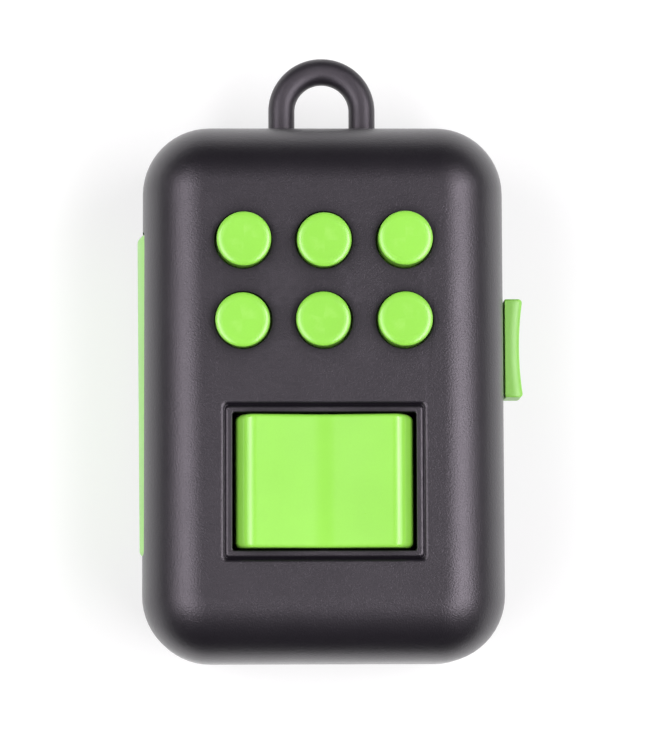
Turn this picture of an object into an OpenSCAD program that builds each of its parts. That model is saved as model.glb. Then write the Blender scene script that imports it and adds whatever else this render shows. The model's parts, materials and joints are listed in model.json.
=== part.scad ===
// Pocket fidget pad: a two-shell case with six push buttons, a sprung rocker,
// a thumb slider on one side, a worry pad on the other and a key loop.
// It lies on its back: the origin is the centre of the flat back face, +Z comes
// out of the button face, +Y points to the key loop and +X to the thumb slider.
// All lengths are in millimetres.

/* [Case] */
// Width of the case
body_w = 42; // [41.5:0.25:43]
// Length of the case without the key loop
body_l = 62.4; // [62:0.2:64]
// Thickness of the case from back face to button face
body_t = 23; // [23:0.25:24]
// Corner radius of the case seen from the front
corner_r = 7.8; // [7.6:0.1:8.4]
// Radius of the rounded edge between a face and the sides
edge_r = 7.3; // [6.8:0.1:7.3]
// Thickness of the side walls
side_wall = 1.6; // [1.5:0.1:1.8]
// Thickness of the front and back walls
face_wall = 1.8; // [1.6:0.1:2]

/* [Buttons] */
// Diameter of a button cap
cap_d = 6.25; // [6:0.05:6.4]
// Distance between button centres, both ways
button_pitch = 9.25; // [9.1:0.05:9.4]
// Height of a cap above the button face
cap_proud = 1.4; // [1.3:0.1:1.8]
// How far a button can be pressed
button_travel = 1.2; // [0.8:0.1:1.2]
// Place of the middle between the two button rows, along Y
buttons_y = 12.45; // [12.2:0.05:12.7]

/* [Rocker] */
// Width of the rocker, across its pivot
rocker_w = 20.3; // [19.9:0.1:20.4]
// Length of the rocker, along its pivot
rocker_l = 15.25; // [15:0.05:15.4]
// Place of the rocker's middle, along Y
rocker_y = -10.65; // [-10.9:0.05:-10.4]
// Height of the two finger ridges above the button face
ridge_rise = 1.3; // [1:0.1:1.6]
// Depth of the valley between the ridges
valley_drop = 1.1; // [0.6:0.1:1.3]
// Rocking angle to each side at which the rocker meets its stops
stop_angle = 7.3; // [6:0.1:7.5]

/* [Thumb slider] */
// Length of the slider's knob
knob_l = 11.6; // [11.2:0.1:12.5]
// Height of the knob, across the case
knob_h = 4.8; // [4.6:0.1:7]
// How far the knob stands out of the side of the case
knob_proud = 2.45; // [2.3:0.05:3]
// Hollow of the knob's outer face
knob_dish = 0.45; // [0.2:0.05:0.6]
// Place of the knob at rest, along Y
knob_y = 5.6; // [-10:0.1:10]
// Furthest place of the knob's middle either way, along Y
slider_reach = 12; // [10:0.5:12]

/* [Worry pad] */
// Length of the worry pad
pad_l = 37.4; // [34:0.2:38]
// Height of the worry pad, across the case
pad_h = 12; // [10:0.2:12.4]
// How far the pad stands out of the side of the case
pad_proud = 0.75; // [0.4:0.05:0.9]
// How far the pad's outer face bulges between its long edges
pad_crown = 1; // [0.6:0.1:1.2]

/* [Key loop] */
// Thickness of the loop's bar
loop_bar_d = 3.2; // [3:0.1:3.4]
// Radius of the loop along the middle of its bar
loop_bend_r = 4.75; // [4.5:0.05:4.9]
// Distance from the end of the case to the centre of the bend
loop_reach = 2.85; // [2.6:0.05:3]

/* [Hidden] */

$fn = 64;
eps = 1;                  // how far a cutter runs past a surface
fit = 0.05;               // running clearance on a radius or a face
snug = 0.02;              // clearance between fixed pieces

case_black = [0.2, 0.18, 0.21];
lime = [0.5, 0.9, 0.25];
steel = [0.75, 0.75, 0.78];
brass = [0.8, 0.66, 0.35];
ivory = [0.86, 0.85, 0.8];

// Case
split_z = body_t / 2;
inside_top = body_t - face_wall;
inside_x = body_w / 2 - side_wall;
inside_y = body_l / 2 - side_wall;
inner_edge_r = edge_r - side_wall;
tongue_h = 1;
tongue_inset = side_wall / 2;
rabbet_past = 0.3;        // how far the cut for the tongue runs into the case
groove_w = 0.7;           // decorative groove round the rocker's opening
groove_depth = 0.45;
lip_w = 0.57;
cross_w = 0.28;           // arm of a screw's cross recess, as a share of the head's radius
cross_l = 1.2;

// Case screws
boss_in_x = 8.2;          // from the sides: clear of the rounded corners
boss_in_y = 7.6;
boss_x = body_w / 2 - boss_in_x;
boss_y = body_l / 2 - boss_in_y;
boss_r = 2.2;
back_boss_r = 3;
boss_joint_z = 6;
case_screw_r = 1;
through_gap = 0.1;        // round a screw where it isn't held
case_screw_end_z = 12.5;
case_through_r = case_screw_r + through_gap;
case_head_r = 1.9;
case_head_h = 1.2;
head_pocket_r = 2.1;
pilot_extra = 0.5;        // how far a pilot hole runs past its screw

// Small screws of the inner plates
small_screw_r = 0.8;
small_head_r = 1.5;
small_head_h = 0.9;
plate_screw_bite = 3;
cradle_screw_bite = 4;
post_r = 1.6;

// Buttons
button_x = [-button_pitch, 0, button_pitch];
button_rows = [buttons_y + button_pitch / 2, buttons_y - button_pitch / 2];
cap_r = cap_d / 2;
cap_edge_r = 0.75;
cap_gap = 0.18;
cap_hole_r = cap_r + cap_gap;
flange_r = 4;
flange_h = 0.8;
flange_top = inside_top - fit;
flange_z = flange_top - flange_h;
stem_r = 1.2;
sleeve_r = 1.7;
sleeve_top = flange_z - button_travel - fit;
plate_top = 16.9;
plate_h = 2;
plate_bottom = plate_top - plate_h;
plate_w = 28.4;
plate_l = 17.2;
stem_tip = 0.4;           // how far a stem comes out under the plate
stem_end_z = plate_bottom - stem_tip;
button_coil_r = 2.15;
button_wire_r = 0.2;
button_turns = 4;
plate_screw_out = 12.6;
plate_screw_x = [-plate_screw_out, -button_pitch / 2, button_pitch / 2, plate_screw_out];

// Rocker
pivot_z = 19.5;
axle_r = 0.75;
axle_fit = 0.01;
rocker_end_x = rocker_w / 2;
shoulder_drop = 1.2;
shoulder_z = body_t - shoulder_drop;
end_r = norm([rocker_end_x, shoulder_z - pivot_z]);
ridge_x = 8.5;
ridge_z = body_t + ridge_rise;
valley_z = ridge_z - valley_drop;
under_pivot = 1.5;
rocker_bottom = pivot_z - under_pivot;
rocker_skirt = 1.3;
rocker_ceiling = 21.4;
rocker_hub_r = 1.9;
rocker_pocket_x = 8.4;
rocker_side_gap = 0.35;
rocker_end_gap = 0.275;
opening_w = rocker_w + 2 * rocker_side_gap;
opening_l = rocker_l + 2 * rocker_end_gap;
cradle_top = 14.5;
cradle_h = 1.5;
cradle_bottom = cradle_top - cradle_h;
cradle_w = 20.4;
cradle_l = 27.4;
ear_h = 1.6;
ear_w = 8;
ear_gap = 0.37;
ear_headroom = 0.1;
ear_top = inside_top - ear_headroom;
rocker_post_x = 7;
rocker_post_dy = [11.85, -11.85];
stop_x = 9.5;
stop_w = 1.4;
stop_l = 11;
rocker_coil_x = 5.2;
rocker_coil_r = 1.9;
rocker_wire_r = 0.25;
rocker_turns = 6;
spring_stub_r = 1.4;
stub_h = 1.4;
stub_top = cradle_top + stub_h;

// Thumb slider
knob_gap = 0.3;
knob_x = body_w / 2 + knob_gap;
knob_thick = knob_proud - knob_gap;
knob_edge_r = 1.9;        // rounding of its outer edges, front and back
neck_l = 10.6;
neck_h = 2.4;
slot_end_gap = 0.1;
slot_half = slider_reach + neck_l / 2 + slot_end_gap;
carriage_l = 12.6;
carriage_h = 5.8;
carriage_thick = 1.9;
leaf_room = 0.6;
carriage_out_x = inside_x - leaf_room;
carriage_x = carriage_out_x - carriage_thick;
slider_screw_bite = 3.5;
leaf_h = 1.4;
leaf_thick = 0.2;
leaf_bow = 0.3;
leaf_end_gap = 0.3;
leaf_edge_gap = 0.1;
guide_gap = 1.5;          // room for the slider screw's head
guide_out_x = carriage_x - guide_gap;
guide_thick = 0.8;
guide_l = 41.6;

// Worry pad
pad_rim = 0.45;
pad_rim_thick = 1.2;
pad_edge_r = 0.5;
pad_corner_r = 0.6;
pad_clamp_y = pad_l / 3;
pad_clamp_l = 4;

// Key loop
loop_corner_r = 1.4;      // rounding of the bar's section
loop_foot_past = 0.6;     // how far the foot runs out past the bar on each side
loop_foot_l = 2 * loop_bend_r + loop_bar_d + 2 * loop_foot_past;
loop_foot_thick = 1.5;
loop_foot_h = 4.4;
loop_clamp_l = 8;
clamp_rib = 1;

// ---------------------------------------------------------------- shapes

// Half of a wall seen end on: straight up from z_low, then rounded in at the top.
module edge_profile(reach, round_r, z_low, z_high)
{
    difference()
    {
        translate([0, z_low])
            square([reach, z_high - z_low]);
        if (round_r > 0)
            translate([reach - round_r, z_high - round_r])
                difference()
                {
                    square(round_r + eps);
                    circle(round_r);
                }
    }
}

// A block with rounded corners whose top edge is rounded all the way round.
module rounded_block(w, l, corner, round_r, z_low, z_high)
{
    flat_w = w - 2 * corner;
    flat_l = l - 2 * corner;
    translate([-flat_w / 2, -flat_l / 2, z_low])
        cube([flat_w, flat_l, z_high - z_low]);
    for (side = [0 : 3])
    {
        out = (side % 2 == 0 ? flat_w : flat_l) / 2;
        run = side % 2 == 0 ? flat_l : flat_w;
        rotate(90 * side)
            translate([out, run / 2, 0])
            {
                rotate([90, 0, 0])
                    linear_extrude(run)
                        edge_profile(corner, round_r, z_low, z_high);
                rotate_extrude(angle = 90)
                    edge_profile(corner, round_r, z_low, z_high);
            }
    }
}

// The case's plan drawn in by inset, as a straight-sided block.
module inset_block(inset, z_low, z_high)
{
    rounded_block(body_w - 2 * inset, body_l - 2 * inset, corner_r - inset, 0, z_low, z_high);
}

// A closed ring that follows the side walls, between two insets.
module wall_ring(outer_inset, inner_inset, z_low, z_high)
{
    difference()
    {
        inset_block(outer_inset, z_low, z_high);
        inset_block(inner_inset, z_low - eps, z_high + eps);
    }
}

// A block standing on z_low, centred in plan.
module slab(w, l, z_low, z_high)
{
    translate([-w / 2, -l / 2, z_low])
        cube([w, l, z_high - z_low]);
}

module post(x, y, r, z_low, z_high)
{
    translate([x, y, z_low])
        cylinder(r = r, h = z_high - z_low);
}

// The hole that a screw bites into, from z_low to just past its tip.
module pilot(x, y, screw_r, z_low, tip_z)
{
    post(x, y, screw_r + snug, z_low - eps, tip_z + pilot_extra);
}

// A pan-head screw driven along +Z, its head's bearing face at z = 0.
module screw(shank_r, length, head_r, head_h)
{
    difference()
    {
        translate([0, 0, -head_h])
            cylinder(r = head_r, h = head_h);
        for (turn = [0, 90])
            rotate(turn)
                slab(head_r * cross_l, head_r * cross_w, -head_h - eps, -head_h / 2);
    }
    cylinder(r = shank_r, h = length);
}

// A coil spring from z_low to z_high, its wire swept as one closed skin.
module coil(mean_r, wire_r, turns, z_low, z_high)
{
    steps = 14;
    sides = 6;
    rings = turns * steps;
    rise = (z_high - z_low - 2 * wire_r) / rings;
    points = [
        for (i = [0 : rings], j = [0 : sides - 1])
            let (
                turn = 360 * i / steps,
                lean = 360 * j / sides,
                out = mean_r + wire_r * cos(lean)
            )
            [out * cos(turn), out * sin(turn), z_low + wire_r + rise * i + wire_r * sin(lean)]
    ];
    skin = [
        for (i = [0 : rings - 1], j = [0 : sides - 1])
            let (
                here = i * sides,
                next = (i + 1) * sides,
                k = (j + 1) % sides
            )
            [here + j, here + k, next + k, next + j]
    ];
    start = [for (j = [sides - 1 : -1 : 0]) j];
    finish = [for (j = [0 : sides - 1]) rings * sides + j];
    polyhedron(points, concat([start], skin, [finish]), convexity = 8);
}

// ---------------------------------------------------------------- case

// The room inside one half-case drawn in by gap, from just under the split plane up.
module inside_half(gap)
{
    rounded_block(
        2 * (inside_x - gap), 2 * (inside_y - gap), corner_r - side_wall - gap,
        inner_edge_r - gap, split_z - eps, inside_top - gap
    );
}

// The hollow half-case above the split plane.
module half_case()
{
    difference()
    {
        rounded_block(body_w, body_l, corner_r, edge_r, split_z, body_t);
        inside_half(0);
    }
}

// Turns a piece of the front half over into the back half.
module as_back()
{
    translate([0, 0, body_t])
        mirror([0, 0, 1])
            children();
}

// The whole room inside the case drawn in by gap.
module inside_block(gap)
{
    inside_half(gap);
    as_back()
        inside_half(gap);
}

// The section of the key loop's bar grown by gap: a square with rounded corners.
module bar_section(gap)
{
    reach = loop_bar_d / 2 + gap;
    round_r = loop_corner_r + gap;
    flat = reach - round_r;
    square([2 * reach, 2 * flat], center = true);
    square([2 * flat, 2 * reach], center = true);
    for (sx = [-1, 1], sy = [-1, 1])
        translate([sx * flat, sy * flat])
            circle(round_r);
}

// The loop's two legs grown by gap, lying along Y between two places.
module loop_legs(gap, y_low, y_high)
{
    for (side = [-1, 1])
        translate([side * loop_bend_r, y_low, 0])
            rotate([-90, 0, 0])
                linear_extrude(y_high - y_low)
                    bar_section(gap);
}

// What both shells leave open where the pieces in the sides come through.
module side_openings()
{
    slot_h = neck_h + 2 * fit;
    window_h = pad_h + 2 * snug;
    window_l = pad_l + 2 * snug;
    translate([inside_x - eps, -slot_half, split_z - slot_h / 2])
        cube([side_wall + 2 * eps, 2 * slot_half, slot_h]);
    translate([-body_w / 2 - eps, -window_l / 2, split_z - window_h / 2])
        cube([side_wall + 2 * eps, window_l, window_h]);
    translate([0, 0, split_z])
        loop_legs(snug, inside_y - eps, body_l / 2 + eps);
}

// Ribs from a face wall to the split: they hold the loop's foot and the worry pad,
// and one long rib closes the slider's channel off from the rest of the case.
module inner_ribs(z_low, z_high)
{
    foot_y = inside_y - snug - loop_foot_thick - snug - clamp_rib;
    pad_x = -inside_x + snug + pad_rim_thick + snug;
    translate([0, foot_y + clamp_rib / 2, 0])
        slab(loop_clamp_l, clamp_rib, z_low, z_high);
    for (side = [-1, 1])
        translate([pad_x + clamp_rib / 2, side * pad_clamp_y, 0])
            slab(clamp_rib, pad_clamp_l, z_low, z_high);
    translate([guide_out_x - guide_thick / 2, 0, 0])
        slab(guide_thick, guide_l, z_low, z_high);
}

module front_shell()
{
    color(case_black)
    difference()
    {
        union()
        {
            half_case();
            for (sx = [-1, 1], sy = [-1, 1])
                post(sx * boss_x, sy * boss_y, boss_r, boss_joint_z, inside_top);
            for (x = plate_screw_x)
                post(x, buttons_y, post_r, plate_top, inside_top);
            for (sx = [-1, 1], dy = rocker_post_dy)
                post(sx * rocker_post_x, rocker_y + dy, post_r, cradle_top, inside_top);
            inner_ribs(split_z + snug, inside_top);
        }
        side_openings();
        wall_ring(tongue_inset, side_wall + rabbet_past, split_z - eps, split_z + tongue_h + fit);
        for (x = button_x, y = button_rows)
            post(x, y, cap_hole_r, inside_top - eps, body_t + eps);
        translate([0, rocker_y, 0])
        {
            slab(opening_w, opening_l, inside_top - eps, body_t + eps);
            difference()
            {
                lip_out = 2 * lip_w;
                groove_out = 2 * (lip_w + groove_w);
                floor_z = body_t - groove_depth;
                slab(opening_w + groove_out, opening_l + groove_out, floor_z, body_t + eps);
                slab(opening_w + lip_out, opening_l + lip_out, floor_z - eps, body_t + 2 * eps);
            }
        }
        for (sx = [-1, 1], sy = [-1, 1])
            pilot(sx * boss_x, sy * boss_y, case_screw_r, boss_joint_z, case_screw_end_z);
        for (x = plate_screw_x)
            pilot(x, buttons_y, small_screw_r, plate_top, plate_top + plate_screw_bite);
        for (sx = [-1, 1], dy = rocker_post_dy)
            pilot(
                sx * rocker_post_x, rocker_y + dy, small_screw_r,
                cradle_top, cradle_top + cradle_screw_bite
            );
    }
}

module back_shell()
{
    color(case_black)
    difference()
    {
        union()
        {
            as_back()
                half_case();
            wall_ring(tongue_inset + fit, side_wall, split_z, split_z + tongue_h);
            for (sx = [-1, 1], sy = [-1, 1])
                post(sx * boss_x, sy * boss_y, back_boss_r, face_wall, boss_joint_z - snug);
            inner_ribs(face_wall, split_z - snug);
        }
        side_openings();
        for (sx = [-1, 1], sy = [-1, 1])
        {
            post(sx * boss_x, sy * boss_y, head_pocket_r, -eps, face_wall);
            post(sx * boss_x, sy * boss_y, case_through_r, face_wall - eps, boss_joint_z + eps);
        }
    }
}

module case_screws()
{
    color(steel)
    for (sx = [-1, 1], sy = [-1, 1])
        translate([sx * boss_x, sy * boss_y, face_wall])
            screw(case_screw_r, case_screw_end_z - face_wall, case_head_r, case_head_h);
}

// A horseshoe of bar whose two legs end in a foot held inside the case.
module key_loop()
{
    foot_out_y = inside_y - snug;
    color(case_black)
    translate([0, 0, split_z])
    {
        translate([0, body_l / 2 + loop_reach, 0])
            rotate_extrude(angle = 180)
                translate([loop_bend_r, 0])
                    bar_section(0);
        loop_legs(0, foot_out_y, body_l / 2 + loop_reach);
        translate([-loop_foot_l / 2, foot_out_y - loop_foot_thick, -loop_foot_h / 2])
            cube([loop_foot_l, loop_foot_thick, loop_foot_h]);
    }
}

// A smooth crowned bar that fills a window in the case's side, with a rim behind the wall.
module worry_pad()
{
    rim_x = -inside_x + snug;
    outer_x = -body_w / 2 - pad_proud;
    crown_r = (pad_h * pad_h / 4 + pad_crown * pad_crown) / (2 * pad_crown);
    color(lime)
    {
        translate([0, 0, split_z])
            intersection()
            {
                rotate([0, -90, 0])
                    rounded_block(pad_h, pad_l, pad_corner_r, pad_edge_r, -rim_x, -outer_x);
                translate([outer_x + crown_r, pad_l, 0])
                    rotate([90, 0, 0])
                        cylinder(r = crown_r, h = 2 * pad_l);
            }
        intersection()
        {
            translate([rim_x, -pad_l / 2 - pad_rim, split_z - pad_h / 2 - pad_rim])
                cube([pad_rim_thick, pad_l + 2 * pad_rim, pad_h + 2 * pad_rim]);
            inside_block(snug);
        }
    }
}

// ---------------------------------------------------------------- buttons

// A mushroom: round cap, flange that stops it under the face, guiding stem.
module button(column, row)
{
    color(lime)
    translate([button_x[column], button_rows[row], 0])
        rotate_extrude()
        {
            edge_profile(cap_r, cap_edge_r, flange_top, body_t + cap_proud);
            translate([0, flange_z])
                square([flange_r, flange_h]);
            translate([0, stem_end_z])
                square([stem_r, flange_z - stem_end_z]);
        }
}

module button_spring(column, row)
{
    color(steel)
    translate([button_x[column], button_rows[row], 0])
        coil(button_coil_r, button_wire_r, button_turns, plate_top + snug, flange_z - snug);
}

// The plate behind the buttons: a sleeve guides each stem and stops its button.
module button_plate()
{
    color(ivory)
    difference()
    {
        union()
        {
            translate([0, buttons_y, 0])
                slab(plate_w, plate_l, plate_bottom, plate_top - snug);
            for (x = button_x, y = button_rows)
                post(x, y, sleeve_r, plate_top - snug, sleeve_top);
        }
        for (x = button_x, y = button_rows)
            post(x, y, stem_r + fit, plate_bottom - eps, sleeve_top + eps);
        for (x = plate_screw_x)
            post(x, buttons_y, small_screw_r + fit, plate_bottom - eps, plate_top + eps);
    }
}

module plate_screws()
{
    color(steel)
    for (x = plate_screw_x)
        translate([x, buttons_y, plate_bottom - snug])
            screw(small_screw_r, plate_h + plate_screw_bite, small_head_r, small_head_h);
}

// ---------------------------------------------------------------- rocker

// The rocker end on: two finger slopes, sloped ends, and ends rounded about the pivot.
module rocker_outline()
{
    slope = [rocker_end_x - ridge_x, shoulder_z - ridge_z];
    past = 1.5;
    low = [ridge_x + slope[0] * past, ridge_z + slope[1] * past];
    intersection()
    {
        polygon([
            [0, valley_z], [ridge_x, ridge_z], low, [low[0], rocker_bottom],
            [-low[0], rocker_bottom], [-low[0], low[1]], [-ridge_x, ridge_z]
        ]);
        translate([0, pivot_z])
            circle(end_r, $fn = 128);
    }
}

module rocker()
{
    pocket_w = rocker_pocket_x - rocker_hub_r;
    color(lime)
    translate([0, rocker_y, 0])
        difference()
        {
            translate([0, rocker_l / 2, 0])
                rotate([90, 0, 0])
                    linear_extrude(rocker_l)
                        rocker_outline();
            for (side = [-1, 1])
                translate([side * (rocker_hub_r + rocker_pocket_x) / 2, 0, 0])
                    slab(pocket_w, rocker_l - 2 * rocker_skirt, rocker_bottom - eps, rocker_ceiling);
            translate([0, rocker_l / 2 + eps, pivot_z])
                rotate([90, 0, 0])
                    cylinder(r = axle_r + axle_fit, h = rocker_l + 2 * eps);
        }
}

module rocker_axle()
{
    axle_l = rocker_l + 2 * (ear_gap + ear_h);
    color(steel)
    translate([0, rocker_y + axle_l / 2, pivot_z])
        rotate([90, 0, 0])
            cylinder(r = axle_r, h = axle_l);
}

// The tray behind the rocker: two ears carry the axle, two bars stop the rocker.
module rocker_cradle()
{
    ear_y = rocker_l / 2 + ear_gap + ear_h / 2;
    stop_z = pivot_z - under_pivot * cos(stop_angle) - end_r * sin(stop_angle);
    color(ivory)
    translate([0, rocker_y, 0])
        difference()
        {
            union()
            {
                slab(cradle_w, cradle_l, cradle_bottom, cradle_top - snug);
                for (side = [-1, 1])
                {
                    translate([0, side * ear_y, 0])
                        slab(ear_w, ear_h, cradle_top - snug, ear_top);
                    translate([side * stop_x, 0, 0])
                        slab(stop_w, stop_l, cradle_top - snug, stop_z);
                    post(side * rocker_coil_x, 0, spring_stub_r, cradle_top - snug, stub_top);
                }
            }
            translate([0, cradle_l / 2, pivot_z])
                rotate([90, 0, 0])
                    cylinder(r = axle_r + fit, h = cradle_l);
            for (sx = [-1, 1], dy = rocker_post_dy)
                post(sx * rocker_post_x, dy, small_screw_r + fit, cradle_bottom - eps, cradle_top + eps);
        }
}

module cradle_screws()
{
    color(steel)
    for (sx = [-1, 1], dy = rocker_post_dy)
        translate([sx * rocker_post_x, rocker_y + dy, cradle_bottom - snug])
            screw(small_screw_r, cradle_h + cradle_screw_bite, small_head_r, small_head_h);
}

module rocker_spring(side)
{
    color(steel)
    translate([side * rocker_coil_x, rocker_y, 0])
        coil(rocker_coil_r, rocker_wire_r, rocker_turns, cradle_top + snug, rocker_ceiling - snug);
}

// ---------------------------------------------------------------- thumb slider

// The knob's outline from the front: a plate with a hollow outer face and a neck.
module knob_outline()
{
    half = knob_l / 2;
    hollow_r = (half * half + knob_dish * knob_dish) / (2 * knob_dish);
    difference()
    {
        translate([knob_x, -half])
            square([knob_thick, knob_l]);
        translate([knob_x + knob_thick - knob_dish + hollow_r, 0])
            circle(hollow_r, $fn = 256);
    }
}

// The knob end on: its two outer edges are deeply rounded.
module knob_section()
{
    round_x = knob_x + knob_thick - knob_edge_r;
    flat_half = knob_h / 2 - knob_edge_r;
    translate([knob_x, -knob_h / 2])
        square([knob_thick - knob_edge_r, knob_h]);
    translate([knob_x, -flat_half])
        square([knob_thick, 2 * flat_half]);
    for (side = [-1, 1])
        translate([round_x, side * flat_half])
            circle(knob_edge_r);
}

module slider_knob()
{
    neck_in = carriage_x + snug;
    color(lime)
    translate([0, knob_y, split_z])
        difference()
        {
            union()
            {
                intersection()
                {
                    translate([0, 0, -knob_h / 2])
                        linear_extrude(knob_h)
                            knob_outline();
                    translate([0, knob_l / 2, 0])
                        rotate([90, 0, 0])
                            linear_extrude(knob_l)
                                knob_section();
                }
                translate([neck_in, -neck_l / 2, -neck_h / 2])
                    cube([knob_x - neck_in, neck_l, neck_h]);
            }
            translate([neck_in - eps, 0, 0])
                rotate([0, 90, 0])
                    cylinder(r = small_screw_r + snug, h = slider_screw_bite + pilot_extra + eps);
        }
}

// The shoe inside the wall that holds the knob in its slot.
module slider_carriage()
{
    color(ivory)
    translate([0, knob_y, split_z])
        difference()
        {
            translate([carriage_x, -carriage_l / 2, -carriage_h / 2])
                cube([carriage_out_x - carriage_x, carriage_l, carriage_h]);
            translate([carriage_x - eps, -neck_l / 2 - snug, -neck_h / 2 - snug])
                cube([carriage_out_x - carriage_x + 2 * eps, neck_l + 2 * snug, neck_h + 2 * snug]);
        }
}

module slider_screw()
{
    color(steel)
    translate([carriage_x, knob_y, split_z])
        rotate([0, 90, 0])
            screw(small_screw_r, slider_screw_bite, small_head_r, small_head_h);
}

// Two bowed strips between the carriage and the wall that keep the knob where it is put.
module slider_leaf_spring()
{
    half = carriage_l / 2 - leaf_end_gap;
    bow_r = (half * half + leaf_bow * leaf_bow) / (2 * leaf_bow);
    chord_x = carriage_out_x + snug;
    leaf_z = (carriage_h - leaf_h) / 2 - leaf_edge_gap;
    color(brass)
    translate([0, knob_y, split_z])
        for (side = [-1, 1])
            translate([0, 0, side * leaf_z - leaf_h / 2])
                linear_extrude(leaf_h)
                    intersection()
                    {
                        translate([chord_x, -half])
                            square([leaf_bow + leaf_thick, 2 * half]);
                        translate([chord_x + leaf_bow + leaf_thick - bow_r, 0])
                            difference()
                            {
                                circle(bow_r, $fn = 256);
                                circle(bow_r - leaf_thick, $fn = 256);
                            }
                    }
}

front_shell();
back_shell();
case_screws();
key_loop();
worry_pad();
button(0, 0);  // button_top_left
button(1, 0);  // button_top_middle
button(2, 0);  // button_top_right
button(0, 1);  // button_low_left
button(1, 1);  // button_low_middle
button(2, 1);  // button_low_right
button_spring(0, 0);  // button_spring_top_left
button_spring(1, 0);  // button_spring_top_middle
button_spring(2, 0);  // button_spring_top_right
button_spring(0, 1);  // button_spring_low_left
button_spring(1, 1);  // button_spring_low_middle
button_spring(2, 1);  // button_spring_low_right
button_plate();
plate_screws();
rocker();
rocker_axle();
rocker_cradle();
cradle_screws();
rocker_spring(-1);  // rocker_spring_left
rocker_spring(1);  // rocker_spring_right
slider_knob();
slider_carriage();
slider_screw();
slider_leaf_spring();
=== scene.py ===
"""Looks for the pocket fidget pad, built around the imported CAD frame.

Shapes are drawn in millimetres in the frame's own axes and scaled to metres when
a piece is done. Places come from the CAD nodes' boxes; the sizes named below are
those of features that a box doesn't give, such as roundings and wall thicknesses.
"""

import json
import math

import bmesh
import bpy
from mathutils import Matrix, Vector


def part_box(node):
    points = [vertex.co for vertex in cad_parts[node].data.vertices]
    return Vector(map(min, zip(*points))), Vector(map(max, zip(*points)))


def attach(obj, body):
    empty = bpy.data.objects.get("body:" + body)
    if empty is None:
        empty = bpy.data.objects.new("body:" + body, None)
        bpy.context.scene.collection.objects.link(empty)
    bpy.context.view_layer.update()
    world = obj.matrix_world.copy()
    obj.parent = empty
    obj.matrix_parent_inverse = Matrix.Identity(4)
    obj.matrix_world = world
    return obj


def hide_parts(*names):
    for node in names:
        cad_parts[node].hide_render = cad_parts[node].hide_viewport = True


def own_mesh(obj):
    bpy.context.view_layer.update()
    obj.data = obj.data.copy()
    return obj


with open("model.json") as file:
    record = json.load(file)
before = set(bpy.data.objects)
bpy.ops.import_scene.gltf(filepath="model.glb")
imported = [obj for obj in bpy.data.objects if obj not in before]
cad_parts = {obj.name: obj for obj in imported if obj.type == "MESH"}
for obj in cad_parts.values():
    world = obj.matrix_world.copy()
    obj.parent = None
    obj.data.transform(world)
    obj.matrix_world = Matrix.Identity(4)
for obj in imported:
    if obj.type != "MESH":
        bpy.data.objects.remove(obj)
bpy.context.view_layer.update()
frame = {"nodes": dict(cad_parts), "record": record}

MM = 0.001


def box_mm(node):
    """Lowest and highest corner of a CAD node, in millimetres."""
    low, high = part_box(node)
    return low / MM, high / MM


def middle(node):
    """Middle of a CAD node's box, in millimetres."""
    low, high = box_mm(node)
    return (low + high) / 2


# ---------------------------------------------------------------- places and sizes

ROWS = ("top", "low")
COLUMNS = ("left", "middle", "right")

# Case: the front shell's box gives its half width, half length and the height of its face
HALF_W, HALF_L, TOP_Z = box_mm("front_shell")[1]
SPLIT_Z = TOP_Z / 2
CORNER_R = 7.8
EDGE_R = 7.3
SIDE_WALL = 1.6
FACE_WALL = 1.8
INNER_EDGE_R = EDGE_R - SIDE_WALL
INSIDE_TOP = TOP_Z - FACE_WALL
FLOOR_Z = FACE_WALL
SEAM_CHAMFER = 0.13
TONGUE_H = 1.0
TONGUE_GAP = 0.05
FIT = 0.02  # small gap between surfaces that meet
SUNK = 0.6  # how far posts reach into the wall they stand on
CORNER_STEPS = 14
FILLET_STEPS = 26

# Rocker's opening, with a groove and a lip round it
rocker_low, rocker_high = box_mm("rocker")
ROCKER_Y = (rocker_low.y + rocker_high.y) / 2
OPENING_HALF_W = 10.5
OPENING_GAP = 0.275
OPENING_HALF_L = (rocker_high.y - rocker_low.y) / 2 + OPENING_GAP
GROOVE_DEPTH = 0.36
GROOVE_OUT = 0.865  # how far out from the opening the bottom of the groove is
LIP_OUT = 0.44  # how far out from the opening the lip is highest
BEZEL_OUT = 1.40  # how far out from the opening the face starts
SIDE_GROOVE_RISE = 0.38  # share by which the groove is shallower along its left and right sides
AXLE_BORE_R = 0.76  # bore through the rocker

# Buttons
CAP_R = 3.125
HOLE_R = 3.29
HOLE_EDGE_R = 0.1
button_places = {
    (row, column): middle(f"button_{row}_{column}") for row in ROWS for column in COLUMNS
}
LEAN = {  # how far each cap's top stands off its hole's middle, as the stems are loose in their sleeves
    ("top", "left"): (0.09, 0.02), ("top", "middle"): (0.03, -0.10), ("top", "right"): (0.09, 0.11),
    ("low", "left"): (-0.07, -0.07), ("low", "middle"): (-0.10, 0.03), ("low", "right"): (0.03, 0.03),
}

# Screws, and the bosses and posts that they go into
CASE_HEAD_R = 1.9
CASE_SHANK_R = 1.0
HEAD_POCKET_R = 2.1
UPPER_BOSS_R = 2.2
LOWER_BOSS_R = 3.0
BOSS_MEET_Z = 6.0
CASE_PILOT_R = 1.02
CASE_PILOT_TOP = 13.0
screw_high = box_mm("case_screws")[1]
BOSSES = [
    (sx * (screw_high.x - CASE_HEAD_R), sy * (screw_high.y - CASE_HEAD_R)) for sx in (-1, 1) for sy in (-1, 1)
]
POST_R = 1.6
SMALL_PILOT_R = 0.82
DRILL_EDGE = 0.02
PLATE_Y = middle("button_plate").y
PLATE_TOP = 16.9
PLATE_PILOT_L = 3.5
PITCH = button_places["top", "right"].x
PLATE_END_X = 12.6
PLATE_POSTS = [(x, PLATE_Y) for x in (-PLATE_END_X, -PITCH / 2, PITCH / 2, PLATE_END_X)]
CRADLE_TOP = 14.5
CRADLE_PILOT_L = 4.5
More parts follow.
